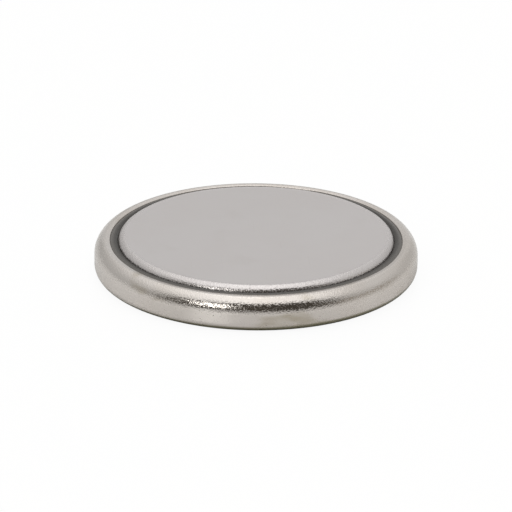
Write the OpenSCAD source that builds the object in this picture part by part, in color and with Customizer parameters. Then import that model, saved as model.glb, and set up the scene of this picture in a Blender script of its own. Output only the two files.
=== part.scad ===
// Lithium coin cell: a crimped steel can with a stepped steel cap set in a plastic gasket,
// and the pieces sealed inside. Millimetres, +Z up towards the cap, origin at the middle
// of the can's flat base. Every piece is turned round Z from its own section.

/* [Cell] */
// Outside diameter of the can
cell_d = 24.5; // [24.2:0.05:24.6]
// Height over both contact faces
cell_h = 2.9; // [2.8:0.05:3.0]

/* [Positive can] */
// Thickness of the can's sheet
can_sheet = 0.25; // [0.2:0.01:0.28]
// Outer radius of the bend between base and wall
base_bend = 0.7; // [0.6:0.05:0.8]
// Height at which the straight wall starts to turn in
wall_top = 1.45; // [1.4:0.01:1.5]
// Outer radius of the crimped shoulder
crimp_bend = 1.3; // [1.25:0.01:1.35]
// Outer radius of the tighter curl at the lip
lip_bend = 0.55; // [0.5:0.01:0.6]
// How far the lip falls inwards after its curl, in degrees
lip_fall = 8; // [0:0.5:12]
// Radius at which the lip ends
lip_end_r = 11.05; // [11:0.01:11.2]
// Rounding of the lip's cut edge
lip_cut = 0.08; // [0.02:0.01:0.1]

/* [Negative cap] */
// Thickness of the cap's sheet
cap_sheet = 0.25; // [0.2:0.01:0.28]
// Outside diameter of the part that stands above the gasket
cap_d = 20.9; // [20.7:0.05:21]
// Outer radius of the bend round the contact face
cap_bend = 0.55; // [0.5:0.05:0.7]
// Height of the step that the crimp presses on
step_z = 1.95; // [1.9:0.01:2]
// Radius of the hollow between the cap's side and its step
step_fillet = 0.2; // [0.15:0.01:0.25]
// Outside diameter of the skirt that stands in the gasket
skirt_d = 23.2; // [23.1:0.05:23.3]
// Outer radius of the bend between step and skirt
skirt_bend = 0.4; // [0.35:0.01:0.45]

/* [Sealing gasket] */
// Thickness of the gasket under the skirt
gasket_base = 0.3; // [0.2:0.01:0.4]
// Thickness of the gasket's inner wall
gasket_inner = 0.3; // [0.2:0.01:0.35]
// Height of the gasket's inner wall
gasket_inner_z = 1; // [0.8:0.05:1.1]
// Radius of the arched bead that swells up between lip and cap
bead_bend = 0.6; // [0.58:0.01:0.62]
// Distance of the bead's highest point from the axis
bead_mid_r = 10.78; // [10.77:0.01:10.79]
// Height of the bead's highest point
bead_z = 2.56; // [2.52:0.01:2.57]

/* [Inner pieces] */
// Diameter of the lithium disc
lithium_d = 18.4; // [16:0.1:18.8]
// Thickness of the lithium disc
lithium_t = 0.7; // [0.5:0.05:0.8]
// Diameter of the separator
separator_d = 20; // [19:0.1:20.2]
// Thickness of the separator
separator_t = 0.2; // [0.1:0.05:0.3]
// Outside diameter of the collector ring
collector_d = 20; // [19:0.1:20.4]
// Thickness of the collector ring's sheet
collector_sheet = 0.15; // [0.1:0.01:0.2]
// Outer radius of the collector ring's bend
collector_bend = 0.3; // [0.25:0.01:0.4]
// Height of the collector ring
collector_h = 0.8; // [0.6:0.05:1]
// Width of the collector ring's flange
collector_flange = 1.4; // [1:0.1:3]

/* [Hidden] */
$fn = 256;
can_r = cell_d / 2;
cap_r = cap_d / 2;
skirt_r = skirt_d / 2;
base_r = can_r - base_bend;
// Centres of the two curves of the crimp. The shoulder hands over to the lip's curl where it
// leans at a slope of 4 in 3; the curl goes on past its top until the lip falls inwards, and
// from there the sheet runs straight to its cut end.
crimp_centre = [can_r - crimp_bend, wall_top];
lip_centre = crimp_centre + (crimp_bend - lip_bend) * [0.6, 0.8];
shoulder_wedge = [[0, 0], [3, 0], [3, 4]];
lip_wedge = [[0, 0], [3, 4], [-5 * sin(lip_fall), 5 * cos(lip_fall)]];
lip_run = (lip_centre.x - lip_bend * sin(lip_fall) - lip_end_r) / cos(lip_fall);
lip_mid_z = lip_centre.y + lip_bend - 0.8 * can_sheet;
cap_bend_z = cell_h - cap_bend;
fillet_z = step_z + step_fillet;
skirt_bend_z = step_z - skirt_bend;
skirt_end_z = can_sheet + gasket_base;
gasket_in_r = skirt_r - cap_sheet - gasket_inner;
lithium_z = cell_h - cap_sheet - lithium_t;
separator_z = lithium_z - separator_t;
pellet_r = collector_d / 2 - collector_sheet;
pellet_t = separator_z - can_sheet;

// A bend of 90 degrees in sheet metal, in the first quadrant
module bend(outer, sheet) {
    intersection() {
        difference() {
            circle(outer);
            circle(outer - sheet);
        }
        square(outer);
    }
}

// A bend that turns through the given wedge
module bend_in(wedge, outer, sheet) {
    intersection() {
        difference() {
            circle(outer);
            circle(outer - sheet);
        }
        polygon(wedge);
    }
}

// The last of the lip, drawn with its outer side facing +X and its cut end at the top
module lip_end() {
    low = lip_bend - can_sheet;
    translate([low, 0]) square([can_sheet, lip_run - lip_cut]);
    translate([low + lip_cut, 0]) square([can_sheet - 2 * lip_cut, lip_run]);
    translate([low + lip_cut, lip_run - lip_cut]) circle(lip_cut);
    translate([lip_bend - lip_cut, lip_run - lip_cut]) circle(lip_cut);
}

// The can's sheet: base, bend, straight wall, shoulder and curled lip
module can_section() {
    square([base_r, can_sheet]);
    translate([base_r, base_bend]) mirror([0, 1]) bend(base_bend, can_sheet);
    translate([can_r - can_sheet, base_bend]) square([can_sheet, wall_top - base_bend]);
    translate(crimp_centre) bend_in(shoulder_wedge, crimp_bend, can_sheet);
    translate(lip_centre) bend_in(lip_wedge, lip_bend, can_sheet);
    translate(lip_centre) rotate(90 + lip_fall) lip_end();
}

// The cap's sheet: contact face, bend, side, hollow, step, bend and skirt
module cap_section() {
    translate([0, cell_h - cap_sheet]) square([cap_r - cap_bend, cap_sheet]);
    translate([cap_r - cap_bend, cap_bend_z]) bend(cap_bend, cap_sheet);
    translate([cap_r - cap_sheet, fillet_z]) square([cap_sheet, cap_bend_z - fillet_z]);
    translate([cap_r + step_fillet, fillet_z]) rotate(180) bend(step_fillet + cap_sheet, cap_sheet);
    translate([cap_r + step_fillet, step_z - cap_sheet])
        square([skirt_r - skirt_bend - cap_r - step_fillet, cap_sheet]);
    translate([skirt_r - skirt_bend, skirt_bend_z]) bend(skirt_bend, cap_sheet);
    translate([skirt_r - cap_sheet, skirt_end_z]) square([cap_sheet, skirt_bend_z - skirt_end_z]);
}

// All that lies under the step and inside the skirt
module under_step() {
    translate([0, gasket_inner_z]) square([skirt_r, skirt_bend_z - gasket_inner_z]);
    translate([0, gasket_inner_z]) square([skirt_r - skirt_bend, step_z - gasket_inner_z]);
    translate([skirt_r - skirt_bend, skirt_bend_z]) circle(skirt_bend);
}

// The gasket fills the channel between can and cap: round the skirt, under the crimp,
// and up between lip and cap in an arched bead
module gasket_section() {
    difference() {
        union() {
            translate([gasket_in_r, can_sheet]) square([base_r - gasket_in_r, gasket_base]);
            translate([gasket_in_r, can_sheet]) square([gasket_inner, gasket_inner_z - can_sheet]);
            translate([base_r, base_bend]) mirror([0, 1])
                intersection() {
                    circle(base_bend - can_sheet);
                    square(base_bend);
                }
            translate([skirt_r, base_bend])
                square([can_r - can_sheet - skirt_r, wall_top - base_bend]);
            translate(crimp_centre)
                intersection() {
                    circle(crimp_bend - can_sheet);
                    polygon(shoulder_wedge);
                }
            translate(lip_centre) circle(lip_bend - can_sheet);
            translate([cap_r, step_z]) square([lip_centre.x - cap_r, lip_centre.y - step_z]);
            translate([bead_mid_r, step_z])
                square([lip_centre.x - bead_mid_r, lip_mid_z - step_z]);
            intersection() {
                translate([bead_mid_r, bead_z - bead_bend]) circle(bead_bend);
                translate([cap_r, step_z]) square([lip_centre.x - cap_r, bead_z - step_z]);
            }
        }
        can_section();
        cap_section();
        under_step();
    }
}

// An angle in thin sheet that holds the pellet's lower edge
module collector_section() {
    outer_r = collector_d / 2;
    translate([outer_r - collector_flange, can_sheet])
        square([collector_flange - collector_bend, collector_sheet]);
    translate([outer_r - collector_bend, can_sheet + collector_bend]) mirror([0, 1])
        bend(collector_bend, collector_sheet);
    translate([outer_r - collector_sheet, can_sheet + collector_bend])
        square([collector_sheet, collector_h - collector_bend]);
}

// The pellet is pressed into the collector ring, so its lower edge has the ring's inner shape
module pellet_section() {
    outer_r = collector_d / 2;
    translate([0, can_sheet]) square([outer_r - collector_flange, collector_sheet]);
    translate([0, can_sheet + collector_sheet])
        square([outer_r - collector_bend, pellet_t - collector_sheet]);
    translate([0, can_sheet + collector_bend]) square([pellet_r, pellet_t - collector_bend]);
    translate([outer_r - collector_bend, can_sheet + collector_bend])
        circle(collector_bend - collector_sheet);
}

module positive_can() {
    color([0.74, 0.73, 0.71]) rotate_extrude() can_section();
}

module negative_cap() {
    color([0.78, 0.77, 0.76]) rotate_extrude() cap_section();
}

module sealing_gasket() {
    color([0.16, 0.16, 0.16]) rotate_extrude() gasket_section();
}

module lithium_anode() {
    color([0.62, 0.63, 0.66]) translate([0, 0, lithium_z]) cylinder(h = lithium_t, d = lithium_d);
}

module separator() {
    color([0.93, 0.93, 0.9]) translate([0, 0, separator_z]) cylinder(h = separator_t, d = separator_d);
}

module cathode_pellet() {
    color([0.13, 0.13, 0.14]) rotate_extrude() pellet_section();
}

module cathode_collector() {
    color([0.66, 0.66, 0.66]) rotate_extrude() collector_section();
}

positive_can();
negative_cap();
sealing_gasket();
lithium_anode();
separator();
cathode_pellet();
cathode_collector();
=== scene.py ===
# %% [markdown]
# # Lithium coin cell
# A coin cell is two thin steel cups pushed into each other, with a plastic ring between them.
# The wide cup, the can, is the positive side. Its rim is crimped over, and presses the ring
# against the narrow cup, the cap, which is the negative side. All of it is round, so nearly
# everything here is a section turned about the Z axis. What makes the cell look real is how
# the polished steel mirrors its surroundings, so the light gets as much care as the shape.
#
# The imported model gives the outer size. Sections are drawn in millimetres, as on a workshop
# drawing. Blender works in metres, and `MM` turns the one into the other.

# %% Load the frame
import math

import bpy
import numpy as np
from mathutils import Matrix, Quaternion, Vector


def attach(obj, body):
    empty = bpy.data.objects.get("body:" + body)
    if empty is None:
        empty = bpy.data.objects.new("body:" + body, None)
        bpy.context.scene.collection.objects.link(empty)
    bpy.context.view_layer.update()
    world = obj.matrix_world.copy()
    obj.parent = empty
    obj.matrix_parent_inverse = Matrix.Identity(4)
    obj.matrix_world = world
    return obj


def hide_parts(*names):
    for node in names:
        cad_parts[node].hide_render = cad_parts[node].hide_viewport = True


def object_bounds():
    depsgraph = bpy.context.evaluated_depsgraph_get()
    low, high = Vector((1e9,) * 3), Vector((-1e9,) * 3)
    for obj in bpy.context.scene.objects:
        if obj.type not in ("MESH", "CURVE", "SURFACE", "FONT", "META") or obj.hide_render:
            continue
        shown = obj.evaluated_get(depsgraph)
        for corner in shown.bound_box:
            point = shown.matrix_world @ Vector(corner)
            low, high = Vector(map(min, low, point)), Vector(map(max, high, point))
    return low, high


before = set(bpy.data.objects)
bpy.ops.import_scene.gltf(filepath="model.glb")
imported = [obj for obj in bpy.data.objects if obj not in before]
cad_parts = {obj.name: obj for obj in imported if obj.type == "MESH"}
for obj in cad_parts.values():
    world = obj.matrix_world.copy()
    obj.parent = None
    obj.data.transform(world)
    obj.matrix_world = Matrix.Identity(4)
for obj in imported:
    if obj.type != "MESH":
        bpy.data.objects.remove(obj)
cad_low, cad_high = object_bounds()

MM = 0.001
print("cell, mm:", [round(side / MM, 3) for side in (cad_high - cad_low)])

# %% [markdown]
# ## Camera
# The cell lies on a table and is seen from a little above, through a long lens from about
# 30 cm, so that near and far edge are almost the same width. The camera could be typed in as
# a place and three angles. Working it out from a target, a distance and an elevation says
# what it does, and it can be changed one thing at a time.

# %% Camera
FOCAL_LENGTH = 284.0
TARGET = Vector((0, 0, 1.13 * MM))
DISTANCE = 306.25 * MM
ELEVATION = math.radians(22.15)
ROLL = math.radians(0.47)

back = Vector((0, -math.cos(ELEVATION), math.sin(ELEVATION)))
lens = bpy.data.cameras.new("Long lens")
lens.lens = FOCAL_LENGTH
lens.clip_start = 10 * MM
lens.clip_end = 10
camera = bpy.data.objects.new("Camera", lens)
camera.rotation_mode = "QUATERNION"
camera.location = TARGET + back * DISTANCE
camera.rotation_quaternion = (-back).to_track_quat("-Z", "Y") @ Quaternion((0, 0, 1), ROLL)
bpy.context.scene.collection.objects.link(camera)
bpy.context.scene.camera = camera
print("camera, mm:", [round(value / MM, 1) for value in camera.location])

# %% [markdown]
# ## Node helpers
# Materials and light are node trees. Each node is added, given its options and wired in one
# call, which keeps a tree about as long as a list of its nodes.

# %% Node helpers
def put(tree, kind, inputs=None, **options):
    """Adds a node. Options are its properties; inputs are numbers, colours or other outputs."""
    node = tree.nodes.new(kind)
    for name, value in options.items():
        setattr(node, name, value)
    for key, value in (inputs or {}).items():
        if isinstance(value, bpy.types.NodeSocket):
            tree.links.new(value, node.inputs[key])
        else:
            node.inputs[key].default_value = value
    return node


def calc(tree, operation, *values):
    """One Math node: its output is operation(values)."""
    return put(tree, "ShaderNodeMath", dict(enumerate(values)), operation=operation).outputs[0]


def rise(tree, value, start, end):
    """A soft step: 0 at start, 1 at end, a smooth S between. Start may be the larger one."""
    inputs = {"Value": value, "From Min": start, "From Max": end}
    return put(tree, "ShaderNodeMapRange", inputs, interpolation_type="SMOOTHSTEP").outputs[0]


def window(tree, value, low, high, soft):
    """1 between low and high, 0 outside, with both edges softened over the width soft."""
    enter = rise(tree, value, low - soft / 2, low + soft / 2)
    leave = rise(tree, value, high - soft / 2, high + soft / 2)
    return calc(tree, "SUBTRACT", enter, leave)


def mix(tree, mask, first, second):
    """Colour that goes from first to second as the mask goes from 0 to 1."""
    inputs = {0: mask, 6: first, 7: second}
    return put(tree, "ShaderNodeMix", inputs, data_type="RGBA").outputs[2]


def rgb(red, green, blue):
    """A colour as the four numbers that a colour socket takes."""
    return (red, green, blue, 1)


print("helpers: put, calc, rise, window, mix, rgb")

# %% [markdown]
# ## Light
# Polished steel shows its surroundings more than itself. Small shiny goods are therefore lit
# in a tent of white cloth: pale walls, a brighter roof, a light sweep behind with a back
# light at each side, and one dark opening in front, in which the camera stands beside a lamp.
# Two boards at the right, the warm edge of the table and a dim corner at the left give the
# bends something to mirror that is neither white nor black. Lamps and boards could be
# modelled round the cell. Painting them into the world instead costs nothing to render.
#
# A direction is read as two angles. Its turn is measured from the front, positive to the
# right, and its height is measured from the horizon. The turn jumps from 180 to -180 behind
# the cell, so panels there use a turn that is measured from the back.

# %% Directions in the tent
world = bpy.data.worlds.new("Light tent")
bpy.context.scene.world = world
world.use_nodes = True
tent = world.node_tree
tent.nodes.clear()

towards = put(tent, "ShaderNodeTexCoord").outputs["Generated"]
axes = put(tent, "ShaderNodeSeparateXYZ", {0: towards})
to_front = calc(tent, "MULTIPLY", axes.outputs["Y"], -1)
turn = calc(tent, "DEGREES", calc(tent, "ARCTAN2", axes.outputs["X"], to_front))
back_turn = calc(tent, "DEGREES", calc(tent, "ARCTAN2", axes.outputs["X"], axes.outputs["Y"]))
height = calc(tent, "DEGREES", calc(tent, "ARCSINE", axes.outputs["Z"]))
print("directions: turn, back_turn and height, in degrees")

# %% [markdown]
# ### Panels
# Each panel is one line: its name, which turn it uses, how far it goes round, how high it
# reaches, and its light. Both spans say from, to, and how wide their soft edges are, in
# degrees. A panel is painted over the ones before it, so the lamp comes last.

# %% Panels of the tent
BEYOND = 400
ALL_ROUND = (-BEYOND, BEYOND, 1)
WALL = rgb(0.64, 0.635, 0.622)
PANELS = [
    ("below the horizon", turn, ALL_ROUND, (-BEYOND, -3, 8), rgb(0.96, 0.96, 0.955)),
    ("walls brighter upwards", turn, ALL_ROUND, (50, BEYOND, 80), rgb(1.62, 1.61, 1.59)),
    ("board at the right", turn, (95, 160, 50), (20, 58, 20), rgb(0.9, 0.9, 0.89)),
    ("low board at the right", turn, (110, 168, 30), (-10, 24, 16), rgb(0.77, 0.77, 0.76)),
    ("roof in front", turn, (-50, 48, 50), (54, BEYOND, 16), rgb(1.6, 1.59, 1.57)),
    ("sweep behind", back_turn, (-7, 21, 10), (4, 60, 20), rgb(0.81, 0.81, 0.805)),
    ("back light at the left", back_turn, (-20, -3, 6), (-12, 18, 9), rgb(0.88, 0.88, 0.875)),
    ("back light at the right", back_turn, (3, 24, 6), (-12, 20, 9), rgb(0.95, 0.95, 0.945)),
    ("sweep rising to the roof", back_turn, (-16, 16, 24), (46, BEYOND, 60), rgb(1.95, 1.94, 1.92)),
    ("edge of the table", turn, (40, 112, 30), (3, 13, 6), rgb(0.5, 0.465, 0.415)),
    ("dim corner at the left", turn, (-74, -40, 24), (2, 22, 12), rgb(0.3, 0.29, 0.27)),
    ("front opening, wide part", turn, (-62, 58, 40), (1.5, 40, 8), rgb(0.08, 0.071, 0.059)),
    ("front opening, tall part", turn, (-30, 44, 40), (1.5, 48.5, 9), rgb(0.08, 0.071, 0.059)),
    ("lamp in the opening", turn, (-43.5, -20, 10), (18, 31, 9), rgb(4.6, 4.55, 4.4)),
]
light = WALL
for name, angle, across, upright, colour in PANELS:
    inside = calc(tent, "MULTIPLY", window(tent, angle, *across), window(tent, height, *upright))
    light = mix(tent, inside, light, colour)
    print("tent panel:", name)

seen = put(tent, "ShaderNodeLightPath").outputs["Is Camera Ray"]
plain = mix(tent, seen, light, rgb(1, 1, 1))
surface = put(tent, "ShaderNodeBackground", {"Color": plain, "Strength": 1.0})
put(tent, "ShaderNodeOutputWorld", {"Surface": surface.outputs[0]})

# %% [markdown]
# ## Turned pieces
# A lathe leaves one shape for every angle: its section. So a piece is a list of points
# (distance from the axis, height), carried once round Z. The section is put together from
# straight stretches and arcs, as the press tools that bent the sheet were drawn.
#
# Each point also carries a number from 0 to 1 for how hard the sheet was worked there: 0 for
# flat rolled sheet, 1 for the outside of a bend. Steel that is bent or stretched gets a fine
# grain, like orange peel, and the material reads that number to know where.

# %% Section tools
def arc(centre, radius, start, end, worked=1.0, step=3.0):
    """Round stretch: centre + radius * (cos a, sin a), a running evenly from start to end."""
    a = np.radians(np.linspace(start, end, max(2, round(abs(end - start) / step)) + 1))
    return np.column_stack([centre[0] + radius * np.cos(a), centre[1] + radius * np.sin(a),
                            np.full(len(a), worked)])


def flat(start, end, worked=0.0, points=7):
    """Straight stretch: start + (end - start) * (1 - cos(pi * u)) / 2, closer at both ends."""
    t = (1 - np.cos(np.pi * np.linspace(0, 1, points))) / 2
    return np.column_stack([start[0] + (end[0] - start[0]) * t, start[1] + (end[1] - start[1]) * t,
                            np.full(points, worked)])


def facing(degrees):
    """Unit vector at that angle, measured from outward towards up."""
    return np.array([math.cos(math.radians(degrees)), math.sin(math.radians(degrees))])


def sheet_end(start, angle, run, sheet, cut):
    """The last of a sheet whose outer side faces angle: along it for run, round the end, back.

    The end is square to the sheet, and both its corners are quarter rounds of radius cut.
    """
    side, along = facing(angle), facing(angle + 90)
    corner = start + run * along
    return np.vstack([
        flat(start, corner, 0.8, 5),
        arc(corner - cut * side, cut, angle, angle + 90, 0.8, 15.0),
        arc(corner - (sheet - cut) * side, cut, angle + 90, angle + 180, 0.6, 15.0),
        flat(corner - sheet * side, start - sheet * side, 0.6, 5)])


def section(*stretches):
    """Joins stretches end to end. Where two share a point, it is kept once, with their mean."""
    rows = np.vstack(stretches)
    again = np.hypot(*np.diff(rows[:, :2], axis=0).T) < 1e-4
    same = np.flatnonzero(again)
    rows[same, 2] = (rows[same, 2] + rows[same + 1, 2]) / 2
    return np.delete(rows, same + 1, axis=0)


# %% Turn a section about Z
ROUND = 480


def turned(name, rows, closed=False):
    """Point (i, j) = (r_i cos t_j, r_i sin t_j, z_i), with t_j = 2 pi j / ROUND, r and z in mm.

    A closed section joins its last point to its first. An open one starts and ends on the
    axis, where all the points of a row are one, and the last ring of faces is triangles.
    """
    t = 2 * np.pi * np.arange(ROUND) / ROUND
    r, z, worked = rows.T
    first, last = (0, len(r)) if closed else (1, len(r) - 1)
    grid = np.stack([r[first:last, None] * np.cos(t), r[first:last, None] * np.sin(t),
                     np.repeat(z[first:last, None], ROUND, axis=1)], axis=-1)
    number = np.arange(grid.shape[0] * ROUND).reshape(-1, ROUND)
    beside = np.roll(number, -1, axis=1)
    if closed:
        number_up, beside_up = np.roll(number, -1, axis=0), np.roll(beside, -1, axis=0)
    else:
        number_up, beside_up = number[1:], beside[1:]
        number, beside = number[:-1], beside[:-1]
    quads = np.stack([number, beside, beside_up, number_up], axis=-1).reshape(-1, 4)
    points = grid.reshape(-1, 3)
    value = np.repeat(worked[first:last], ROUND)
    fans = np.empty((0, 3), int)
    if not closed:
        low, high = len(points), len(points) + 1
        points = np.vstack([points, [[0, 0, z[0]], [0, 0, z[-1]]]])
        value = np.append(value, [worked[0], worked[-1]])
        edge = np.arange(ROUND)
        top = edge + len(quads) // ROUND * ROUND
        fans = np.vstack([np.column_stack([np.full(ROUND, low), np.roll(edge, -1), edge]),
                          np.column_stack([np.full(ROUND, high), top, np.roll(top, -1)])])
    mesh = bpy.data.meshes.new(name)
    mesh.from_pydata(points * MM, [], quads.tolist() + fans.tolist())
    mesh.shade_smooth()
    mesh.attributes.new("worked", "FLOAT", "POINT").data.foreach_set("value", value)
    piece = bpy.data.objects.new(name, mesh)
    bpy.context.scene.collection.objects.link(piece)
    print(name, "-", len(points), "points,", 2 * len(quads) + len(fans), "triangles")
    return piece


# %% [markdown]
# ## Positive can
# One cup of nickel-plated stainless sheet: a flat base, a bend, a short straight wall, and
# the rim that a press rolled inwards in two curves, a wide shoulder and a tighter lip. The
# lip's curl goes on just past its top, and from there the sheet falls inwards in a short
# straight run. It could be a cylinder with bevels, but the two curves meet where both lean at
# 53 degrees, and only a drawn section gives that. The sheet is a quarter of a millimetre
# thick all the way, so the inner side is the outer side again with smaller radii. The cut end
# of the lip is slightly rounded, as shears leave it.

# %% Positive can
SHEET = 0.25
CAN_R = min(cad_high.x, cad_high.y) / MM
BASE_BEND = 0.7
WALL_TOP = 1.45
SHOULDER = 1.3
LIP = 0.55
LEAN = math.degrees(math.atan2(4, 3))
LIP_FALL = 8
LIP_END = 11.05
CUT = 0.08

base_r = CAN_R - BASE_BEND
shoulder_at = np.array([CAN_R - SHOULDER, WALL_TOP])
lip_at = shoulder_at + (SHOULDER - LIP) * facing(LEAN)
lip_top = lip_at + LIP * facing(90 + LIP_FALL)
lip_run = (lip_top[0] - LIP_END) / math.cos(math.radians(LIP_FALL)) - CUT
can_rows = section(
    flat((0, 0), (base_r, 0), 0.1, 9),
    arc((base_r, BASE_BEND), BASE_BEND, -90, 0, 0.4),
    flat((CAN_R, BASE_BEND), (CAN_R, WALL_TOP), 0.12),
    arc(shoulder_at, SHOULDER, 0, LEAN, 1.0, 2.0),
    arc(lip_at, LIP, LEAN, 90 + LIP_FALL, 1.0, 2.0),
    sheet_end(lip_top, 90 + LIP_FALL, lip_run, SHEET, CUT),
    arc(lip_at, LIP - SHEET, 90 + LIP_FALL, LEAN, 0.6, 4.0),
    arc(shoulder_at, SHOULDER - SHEET, LEAN, 0, 0.6, 4.0),
    flat((CAN_R - SHEET, WALL_TOP), (CAN_R - SHEET, BASE_BEND), 0.3),
    arc((base_r, BASE_BEND), BASE_BEND - SHEET, 0, -90, 0.6, 6.0),
    flat((base_r, SHEET), (0, SHEET), 0.1, 9),
)
can = turned("can", can_rows)

# %% [markdown]
# ## Negative cap
# The other cup: the round contact face, a bend, a low side, a hollow where it steps out
# under the crimp, and a skirt that stands in the gasket. Only the face and most of its bend
# can be seen, because the gasket covers the rest. A disc with a bevel would do for that, but
# the whole cup is here, as it would be on the bench.

# %% Negative cap
CAP_TOP = cad_high.z / MM
CAP_R = 10.45
CAP_BEND = 0.55
STEP_Z = 1.95
HOLLOW = 0.2
SKIRT_R = 11.6
SKIRT_BEND = 0.4
SKIRT_END = 0.55

bend_at = (CAP_R - CAP_BEND, CAP_TOP - CAP_BEND)
hollow_at = (CAP_R + HOLLOW, STEP_Z + HOLLOW)
skirt_at = (SKIRT_R - SKIRT_BEND, STEP_Z - SKIRT_BEND)
cap_rows = section(
    flat((0, CAP_TOP - SHEET), (bend_at[0], CAP_TOP - SHEET), 0, 9),
    arc(bend_at, CAP_BEND - SHEET, 90, 0, 0.6, 6.0),
    flat((CAP_R - SHEET, bend_at[1]), (CAP_R - SHEET, hollow_at[1]), 0.4, 4),
    arc(hollow_at, HOLLOW + SHEET, 180, 270, 0.6, 6.0),
    flat((hollow_at[0], STEP_Z - SHEET), (skirt_at[0], STEP_Z - SHEET), 0.2),
    arc(skirt_at, SKIRT_BEND - SHEET, 90, 0, 0.6, 10.0),
    flat((SKIRT_R - SHEET, skirt_at[1]), (SKIRT_R - SHEET, SKIRT_END), 0.3),
    flat((SKIRT_R - SHEET, SKIRT_END), (SKIRT_R, SKIRT_END), 0.3, 3),
    flat((SKIRT_R, SKIRT_END), (SKIRT_R, skirt_at[1]), 0.3),
    arc(skirt_at, SKIRT_BEND, 0, 90, 0.8, 6.0),
    flat((skirt_at[0], STEP_Z), (hollow_at[0], STEP_Z), 0.2),
    arc(hollow_at, HOLLOW, 270, 180, 0.8, 6.0),
    flat((CAP_R, hollow_at[1]), (CAP_R, bend_at[1]), 0.4, 4),
    arc(bend_at, CAP_BEND, 0, 90, 1.0, 2.0),
    flat((bend_at[0], CAP_TOP), (0, CAP_TOP), 0, 12),
)
cap = turned("cap", cap_rows)

# %% [markdown]
# ## Sealing gasket
# A ring of dark plastic fills the space between the two cups. The crimp squeezes it up
# between lip and cap in an arched bead, which is the only part of it that shows. It could be
# a torus laid in the groove. Following the same section as the cups instead closes both
# sides, and the joint to each cup stays a sharp line. Beside the cap it keeps a few
# thousandths of a millimetre clear, so that the two skins never cross. The last stretch
# stops `FOOT` short of the first point, because a closed section joins those two by itself.

# %% Sealing gasket
GASKET_IN = 11.05
GASKET_IN_Z = 1.0
BEAD_TOP = 2.56
BEAD_MIDDLE = 10.78
BEAD = 0.6
CLEAR = 0.005
BESIDE_LIP = 0.01
FOOT = 0.03

bead_at = (BEAD_MIDDLE, BEAD_TOP - BEAD)
bead_out = math.degrees(math.acos((LIP_END + BESIDE_LIP - BEAD_MIDDLE) / BEAD))
bead_in = math.degrees(math.acos((CAP_R + CLEAR - BEAD_MIDDLE) / BEAD))
under_lip = lip_top - SHEET * facing(90 + LIP_FALL)
gasket_rows = section(
    flat((GASKET_IN, SHEET), (base_r, SHEET), 0),
    arc((base_r, BASE_BEND), BASE_BEND - SHEET, -90, 0, 0, 6.0),
    flat((CAN_R - SHEET, BASE_BEND), (CAN_R - SHEET, WALL_TOP), 0),
    arc(shoulder_at, SHOULDER - SHEET, 0, LEAN, 0, 4.0),
    arc(lip_at, LIP - SHEET, LEAN, 90 + LIP_FALL, 0, 6.0),
    flat(under_lip, under_lip + lip_run * facing(180 + LIP_FALL), 0, 3),
    arc(bead_at, BEAD, bead_out, bead_in, 0, 4.0),
    arc(hollow_at, HOLLOW - CLEAR, 180, 270, 0, 10.0),
    flat((hollow_at[0], STEP_Z + CLEAR), (skirt_at[0], STEP_Z), 0),
    arc(skirt_at, SKIRT_BEND, 90, 0, 0, 6.0),
    flat((SKIRT_R, skirt_at[1]), (SKIRT_R, SKIRT_END), 0),
    flat((SKIRT_R, SKIRT_END), (SKIRT_R - SHEET, SKIRT_END), 0, 3),
    flat((SKIRT_R - SHEET, SKIRT_END), (SKIRT_R - SHEET, GASKET_IN_Z), 0),
    flat((SKIRT_R - SHEET, GASKET_IN_Z), (GASKET_IN, GASKET_IN_Z), 0, 3),
    flat((GASKET_IN, GASKET_IN_Z), (GASKET_IN, SHEET + FOOT), 0),
)
gasket = turned("gasket", gasket_rows, closed=True)

# %% [markdown]
# ## Floor
# A white table top. For the camera it is white paint plus enough glow to reach paper white,
# so that only a trace of the cell's shadow is left; in the steel it is mirrored as plain
# white paint, with the full shadow under the bend. It is a ring that starts under the flat
# base, and its underside is clear, so that the base can be looked at from below as well.

# %% Floor
FLOOR_DROP = 0.01
FLOOR_OVERLAP = 0.2
FLOOR_NEAR = 20
FLOOR_FAR = 1500
GLOW_SHARE = 0.93

rings = np.array([[base_r - FLOOR_OVERLAP], [FLOOR_NEAR], [FLOOR_FAR]])
angles = 2 * np.pi * np.arange(ROUND) / ROUND
points = np.stack([rings * np.cos(angles), rings * np.sin(angles),
                   np.full((len(rings), ROUND), -FLOOR_DROP)], axis=-1).reshape(-1, 3)
near = np.arange(2 * ROUND).reshape(2, ROUND)
quads = np.stack([near, near + ROUND, np.roll(near, -1, axis=1) + ROUND,
                  np.roll(near, -1, axis=1)], axis=-1).reshape(-1, 4)
floor_mesh = bpy.data.meshes.new("floor")
floor_mesh.from_pydata(points * MM, [], quads.tolist())
floor = bpy.data.objects.new("floor", floor_mesh)
bpy.context.scene.collection.objects.link(floor)

paint = bpy.data.materials.new("White table top")
paint.use_nodes = True
tree = paint.node_tree
tree.nodes.clear()
white = {"Base Color": rgb(0.95, 0.95, 0.945), "Roughness": 0.2, "Specular IOR Level": 0.3}
painted = put(tree, "ShaderNodeBsdfPrincipled", white)
glow = put(tree, "ShaderNodeEmission", {"Color": rgb(1, 1, 1), "Strength": 1.0})
seen = put(tree, "ShaderNodeLightPath").outputs["Is Camera Ray"]
share = calc(tree, "MULTIPLY", seen, GLOW_SHARE)
top = put(tree, "ShaderNodeMixShader", {0: share, 1: painted.outputs[0], 2: glow.outputs[0]})
clear = put(tree, "ShaderNodeBsdfTransparent")
below = put(tree, "ShaderNodeNewGeometry").outputs["Backfacing"]
both = put(tree, "ShaderNodeMixShader", {0: below, 1: top.outputs[0], 2: clear.outputs[0]})
put(tree, "ShaderNodeOutputMaterial", {"Surface": both.outputs[0]})
floor_mesh.materials.append(paint)
print("floor -", len(quads), "quads, out to", FLOOR_FAR, "mm")

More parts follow.
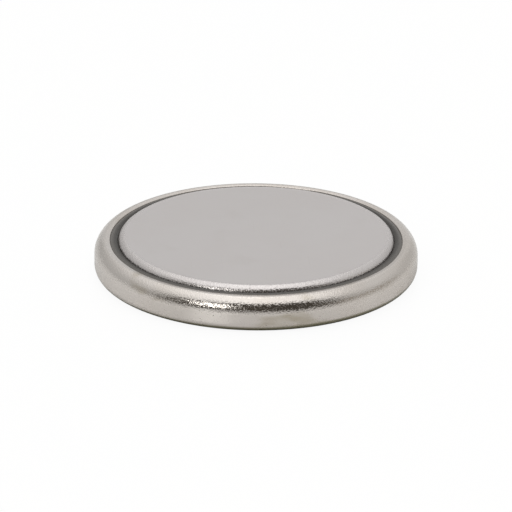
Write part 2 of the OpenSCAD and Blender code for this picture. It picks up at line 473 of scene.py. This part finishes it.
# %% [markdown]
# ## Shared effects
# Three things happen to more than one of the metals, so each is a node group, made once and
# placed in a material with its own numbers: the grain where sheet was bent, the fine lines
# that rolling leaves in a sheet, and the smudges, spots and hairlines of handling. A group
# gives only numbers that vary over the surface; the shader stays in the material.

# %% Group helper
def effect(name, inputs, outputs):
    """A new node group with those number or vector inputs and number outputs."""
    group = bpy.data.node_groups.new(name, "ShaderNodeTree")
    for label, kind, value in inputs:
        socket = group.interface.new_socket(label, in_out="INPUT", socket_type=kind)
        if value is not None:
            socket.default_value = value
    for label in outputs:
        group.interface.new_socket(label, in_out="OUTPUT", socket_type="NodeSocketFloat")
    entry = group.nodes.new("NodeGroupInput")
    leave = group.nodes.new("NodeGroupOutput")
    print("effect:", name, "gives", ", ".join(outputs))
    return group, entry.outputs, leave.inputs


NUMBER = "NodeSocketFloat"
PLACE = "NodeSocketVector"


def noise(tree, place, scale, detail=2.0, roughness=0.5, distortion=0.0):
    """Soft random pattern between 0 and 1, with features about 1 / scale metres wide."""
    inputs = {"Vector": place, "Scale": scale, "Detail": detail, "Roughness": roughness,
              "Distortion": distortion}
    return put(tree, "ShaderNodeTexNoise", inputs).outputs[0]


def scaled(tree, place, factors):
    """The place with X, Y and Z multiplied by a factor each. Below 1 draws a pattern out."""
    inputs = {0: place, 1: factors}
    return put(tree, "ShaderNodeVectorMath", inputs, operation="MULTIPLY").outputs[0]


def crossed(tree, place, angles, draw, scale, distortion=0.0):
    """Thin lines in several directions: noise drawn out along each, and the strongest of them."""
    strongest = None
    for angle in angles:
        way = put(tree, "ShaderNodeVectorRotate", {"Vector": place, "Angle": angle},
                  rotation_type="Z_AXIS").outputs[0]
        line = noise(tree, scaled(tree, way, (draw, 1, 1)), scale, 1.0, 0.5, distortion)
        strongest = line if strongest is None else calc(tree, "MAXIMUM", strongest, line)
    return strongest


# %% [markdown]
# ### Grain of worked sheet
# Where sheet is bent its crystals turn and stand up a little, and the polish goes pebbly. A
# scan of such a surface could be wrapped round the piece. Two noises, a fine one and a slower
# one, give the same pebbles at any size and without a seam. The highest pebbles are also
# handed out as dull places, because they are the ones that rub.

# %% Grain of worked sheet
grain, entry, leave = effect(
    "Worked grain",
    [("Place", PLACE, None), ("Grain per metre", NUMBER, 8000.0), ("Worked", NUMBER, 1.0)],
    ["Height", "Dull"],
)
pebbled = scaled(grain, entry["Place"], (1, 1, 1.5))
fine = noise(grain, pebbled, entry["Grain per metre"], 0.0)
coarse = noise(grain, pebbled, calc(grain, "MULTIPLY", entry["Grain per metre"], 0.37), 1.0)
peel = calc(grain, "ADD", fine, calc(grain, "MULTIPLY", coarse, 0.25))
grain.links.new(calc(grain, "MULTIPLY", peel, entry["Worked"]), leave["Height"])
dull = calc(grain, "MULTIPLY", rise(grain, fine, 0.45, 0.7), entry["Worked"])
grain.links.new(dull, leave["Dull"])

# %% [markdown]
# ### Rolling lines
# Rolled sheet keeps faint scratches along the way it went through the rollers. They could be
# cut into the mesh, but they are far finer than its faces. Noise that is drawn out fifty
# times in one direction gives lines of any fineness.

# %% Rolling lines
lines, entry, leave = effect(
    "Rolling lines",
    [("Place", PLACE, None), ("Lines per metre", NUMBER, 9000.0)],
    ["Height"],
)
drawn = scaled(lines, entry["Place"], (0.02, 1, 1))
streak = noise(lines, drawn, entry["Lines per metre"], 3.0, 0.6)
lines.links.new(streak, leave["Height"])

# %% [markdown]
# ### Handling marks
# Fingers leave broad soft smudges, drops leave small spots, and a table top leaves hairlines
# that cross each other. Each could be its own group. They come together on anything that has
# been handled, so one group gives all three, and a material takes the ones it needs.

# %% Handling marks
handling, entry, leave = effect(
    "Handling marks",
    [("Place", PLACE, None), ("Marks per metre", NUMBER, 120.0)],
    ["Smudge", "Spot", "Hairline"],
)
smudge = noise(handling, entry["Place"], entry["Marks per metre"], 3.0, 0.55, 0.4)
handling.links.new(rise(handling, smudge, 0.35, 0.7), leave["Smudge"])
squat = scaled(handling, entry["Place"], (1, 1, 3))
spot = noise(handling, squat, calc(handling, "MULTIPLY", entry["Marks per metre"], 2.0), 2.0, 0.6)
handling.links.new(rise(handling, spot, 0.56, 0.76), leave["Spot"])
fineness = calc(handling, "MULTIPLY", entry["Marks per metre"], 45.0)
hair = crossed(handling, entry["Place"], (0.35, 1.5, 2.6), 0.05, fineness)
handling.links.new(rise(handling, hair, 0.7, 0.78), leave["Hairline"])

# %% [markdown]
# ## Steel
# Both cups are nickel-plated stainless sheet, a slightly warm mid grey in white light. The
# contact faces keep the satin finish of the rolled sheet. The bends are glossier underneath
# but grained, with dull tops to the grains. A pattern could be painted for each cup. Here a
# Principled shader with full Metallic gives the mirror, and the groups vary its roughness,
# tint it where it was smudged or spotted, and bump it by a few micrometres. Painted shade, an
# olive contact shadow in the colour, darkens the can's lower bend. It reaches a little higher
# towards +X, away from the light, and fades out before the flat base, which shows only a few
# faint spots.

# %% Material helpers
def shaded(name, **constants):
    """A new material: its tree, its Principled shader with those inputs set, and its places."""
    material = bpy.data.materials.new(name)
    material.use_nodes = True
    tree = material.node_tree
    shader = tree.nodes["Principled BSDF"]
    for label, value in constants.items():
        shader.inputs[label.replace("_", " ")].default_value = value
    place = put(tree, "ShaderNodeTexCoord").outputs["Object"]
    print("material:", name)
    return material, tree, shader, place


def placed(tree, group, inputs):
    """Places a node group in a material, wires its inputs, and gives its outputs."""
    return put(tree, "ShaderNodeGroup", inputs, node_tree=group).outputs


def bumped(tree, height, metres, under=None):
    """Normal of a surface raised by height * metres, on top of an earlier normal if given."""
    inputs = {"Height": height, "Distance": metres, "Strength": 1.0}
    if under is not None:
        inputs["Normal"] = under
    return put(tree, "ShaderNodeBump", inputs).outputs[0]


# %% Steel
ROLLING_DEPTH = 0.0004
SMUDGE_DULLS = 0.03
HAIRLINE_DULLS = 0.06
GRAIN_DULLS = 0.2
# Painted contact shadow on the can's lower bend: its olive colour, its rise towards +X, where it is
# full, and where it fades at the foot, in mm.
CONTACT_SHADE_COLOUR = rgb(0.23, 0.215, 0.15)
CONTACT_SHADE_SLOPE = 0.009
CONTACT_SHADE_FULL = 0.6
CONTACT_SHADE_FOOT = (0.01, 0.05)


def plated_steel(name, clean, smeared, spotted, roughness, grain_depth, contact_shade_top):
    """Nickel-plated sheet: its three tones, its roughness when flat and when bent, the depth of
    its grain, and how high the painted contact shadow near the base reaches on it, or 0.
    Lengths are in mm.
    """
    material, tree, shader, place = shaded(name, Metallic=1.0)
    shader.inputs["Specular Tint"].default_value = rgb(0.85, 0.85, 0.85)
    worked = put(tree, "ShaderNodeAttribute", attribute_name="worked").outputs["Fac"]
    peel = placed(tree, grain, {"Place": place, "Worked": worked})
    rolled = placed(tree, lines, {"Place": place})
    marks = placed(tree, handling, {"Place": place})
    tone = mix(tree, marks["Smudge"], clean, smeared)
    tone = mix(tree, marks["Spot"], tone, spotted)
    # Painted contact shadow: the colour darkens the lower bend, a little higher towards +X, away
    # from the light, and fades out before the flat base.
    if contact_shade_top:
        at = put(tree, "ShaderNodeSeparateXYZ", {0: place}).outputs
        up = calc(tree, "SUBTRACT", at["Z"], calc(tree, "MULTIPLY", at["X"], CONTACT_SHADE_SLOPE))
        below_top = rise(tree, up, contact_shade_top * MM, CONTACT_SHADE_FULL * contact_shade_top * MM)
        above_base = rise(tree, at["Z"], CONTACT_SHADE_FOOT[0] * MM, CONTACT_SHADE_FOOT[1] * MM)
        tone = mix(tree, calc(tree, "MULTIPLY", below_top, above_base), tone, CONTACT_SHADE_COLOUR)
    tree.links.new(tone, shader.inputs["Base Color"])
    when_flat, when_bent = roughness
    rough = calc(tree, "ADD", when_flat, calc(tree, "MULTIPLY", worked, when_bent - when_flat))
    for mask, dulls in [(marks["Smudge"], SMUDGE_DULLS), (marks["Hairline"], HAIRLINE_DULLS),
                        (peel["Dull"], GRAIN_DULLS)]:
        rough = calc(tree, "ADD", rough, calc(tree, "MULTIPLY", mask, dulls))
    tree.links.new(rough, shader.inputs["Roughness"])
    normal = bumped(tree, rolled["Height"], ROLLING_DEPTH * MM)
    normal = bumped(tree, peel["Height"], grain_depth * MM, normal)
    tree.links.new(normal, shader.inputs["Normal"])
    return material


# The can gets the painted contact shadow on its lower bend; the cap gets none.
can_steel = plated_steel(
    "Can steel", clean=rgb(0.58, 0.547, 0.52), smeared=rgb(0.53, 0.49, 0.455),
    spotted=rgb(0.42, 0.38, 0.32), roughness=(0.26, 0.09), grain_depth=0.0135, contact_shade_top=0.54)
cap_steel = plated_steel(
    "Cap steel", clean=rgb(0.555, 0.53, 0.525), smeared=rgb(0.54, 0.513, 0.507),
    spotted=rgb(0.535, 0.508, 0.5), roughness=(0.3, 0.23), grain_depth=0.017, contact_shade_top=0)

# %% [markdown]
# ## Gasket plastic
# Black polypropylene. Where it was squeezed up between lip and cap its skin is not flat: slow
# swells and fine pits break up the highlight. Its tone is painted light and shade: grey
# towards the lip, where the bead catches the light, and dark towards the cap, whose side
# shades it. A plain black would do from afar. The painted grey side is what lets the eye see
# that the ring is arched, so the tone follows the distance from the axis.

# %% Gasket plastic
LIT_SIDE_WIDTH = 0.45

gasket_plastic, tree, shader, place = shaded("Gasket plastic", Metallic=0.0, Specular_IOR_Level=0.2)
swell = noise(tree, place, 1500.0, 2.0)
pits = noise(tree, place, 9000.0, 2.0)
level = scaled(tree, place, (1, 1, 0))
from_axis = put(tree, "ShaderNodeVectorMath", {0: level}, operation="LENGTH").outputs["Value"]
# Painted light and shade: grey towards the lip, dark towards the cap that shades the ring.
lit_towards_lip = rise(tree, from_axis, (LIP_END - LIT_SIDE_WIDTH) * MM, LIP_END * MM)
tone = mix(tree, swell, rgb(0.026, 0.023, 0.02), rgb(0.038, 0.034, 0.03))
tone = mix(tree, lit_towards_lip, tone, rgb(0.12, 0.112, 0.104))
tree.links.new(tone, shader.inputs["Base Color"])
rough = calc(tree, "ADD", 0.3, calc(tree, "MULTIPLY", pits, 0.16))
tree.links.new(rough, shader.inputs["Roughness"])
normal = bumped(tree, pits, 0.003 * MM, bumped(tree, swell, 0.012 * MM))
tree.links.new(normal, shader.inputs["Normal"])

# %% [markdown]
# ## Sealed pieces
# The four pieces inside never show on a closed cell, but the part can be opened up, so each
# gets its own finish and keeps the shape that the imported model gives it.
#
# The anode is a disc of lithium foil, a soft grey metal with rolling lines that clouds over
# in air. Plain grey metal could be taken for steel, and the cloud tells the two apart.

# %% Lithium
lithium, tree, shader, place = shaded("Lithium foil", Metallic=1.0)
bloom = noise(tree, place, 450.0, 4.0, 0.6, 0.6)
foil_lines = placed(tree, lines, {"Place": place, "Lines per metre": 4000.0})
tree.links.new(mix(tree, rise(tree, bloom, 0.4, 0.65), rgb(0.56, 0.57, 0.6), rgb(0.4, 0.4, 0.43)),
               shader.inputs["Base Color"])
tree.links.new(calc(tree, "ADD", 0.36, calc(tree, "MULTIPLY", bloom, 0.25)),
               shader.inputs["Roughness"])
tree.links.new(bumped(tree, foil_lines["Height"], 0.004 * MM), shader.inputs["Normal"])

# %% [markdown]
# ### Separator
# A thin felt of white fibres. The fibres could be modelled as hairs, but they are finer than
# anything that shows, so crossed lines in a bump and in the tone stand for them.

# %% Separator felt
felt, tree, shader, place = shaded("Separator felt", Metallic=0.0, Roughness=0.9)
fibres = crossed(tree, place, (0.2, 1.1, 2.3), 0.08, 14000.0, 0.3)
tone = mix(tree, rise(tree, fibres, 0.45, 0.75), rgb(0.7, 0.7, 0.67), rgb(0.88, 0.88, 0.86))
tree.links.new(tone, shader.inputs["Base Color"])
tree.links.new(bumped(tree, fibres, 0.02 * MM), shader.inputs["Normal"])

# %% [markdown]
# ### Cathode
# Manganese dioxide and graphite, pressed to a black pellet. A smooth black would look like
# plastic. Small cells give the pressed grains, and a slow noise makes some places greyer.

# %% Cathode powder
powder, tree, shader, place = shaded("Cathode powder", Metallic=0.0)
grains = put(tree, "ShaderNodeTexVoronoi", {"Vector": place, "Scale": 9000.0}).outputs["Distance"]
lumps = noise(tree, place, 1200.0, 3.0)
tree.links.new(mix(tree, lumps, rgb(0.012, 0.012, 0.013), rgb(0.035, 0.034, 0.034)),
               shader.inputs["Base Color"])
tree.links.new(calc(tree, "ADD", 0.6, calc(tree, "MULTIPLY", lumps, 0.3)),
               shader.inputs["Roughness"])
tree.links.new(bumped(tree, grains, 0.02 * MM), shader.inputs["Normal"])

# %% [markdown]
# ### Collector
# A ring of thin plain steel. It takes the same smudges and rolling lines as the cups, only
# finer, because it is a smaller piece of thinner sheet.

# %% Collector steel
collector, tree, shader, place = shaded("Collector steel", Metallic=1.0)
marks = placed(tree, handling, {"Place": place, "Marks per metre": 300.0})
ring_lines = placed(tree, lines, {"Place": place, "Lines per metre": 12000.0})
tree.links.new(mix(tree, marks["Smudge"], rgb(0.52, 0.51, 0.5), rgb(0.44, 0.43, 0.42)),
               shader.inputs["Base Color"])
tree.links.new(calc(tree, "ADD", 0.24, calc(tree, "MULTIPLY", marks["Smudge"], 0.12)),
               shader.inputs["Roughness"])
tree.links.new(bumped(tree, ring_lines["Height"], 0.002 * MM), shader.inputs["Normal"])

# %% [markdown]
# ## Put together
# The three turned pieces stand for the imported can, cap and gasket, which have the same
# section but fewer facets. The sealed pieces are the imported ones, with a finish. They could
# be turned again too, but nothing about their plain shapes would gain by it.

# %% Finish every piece
for piece, material, node, slot in [
    (can, can_steel, "positive_can", "can_steel"),
    (cap, cap_steel, "negative_cap", "cap_steel"),
    (gasket, gasket_plastic, "sealing_gasket", "gasket_plastic"),
]:
    piece.data.materials.append(material)
    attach(piece, "root")
    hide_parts(node)
    print(piece.name, "- stands for", node)

for node, material in [
    ("lithium_anode", lithium),
    ("separator", felt),
    ("cathode_pellet", powder),
    ("cathode_collector", collector),
]:
    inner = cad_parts[node]
    for packed_slot in inner.material_slots:
        packed_slot.material = material
    print(node, "- slots:", len(inner.material_slots))

# %% [markdown]
# ## View settings
# The standard view shows each colour about as it is written, where a film-like one would grey
# the white background.

# %% View settings
scene = bpy.context.scene
scene.view_settings.view_transform = "Standard"
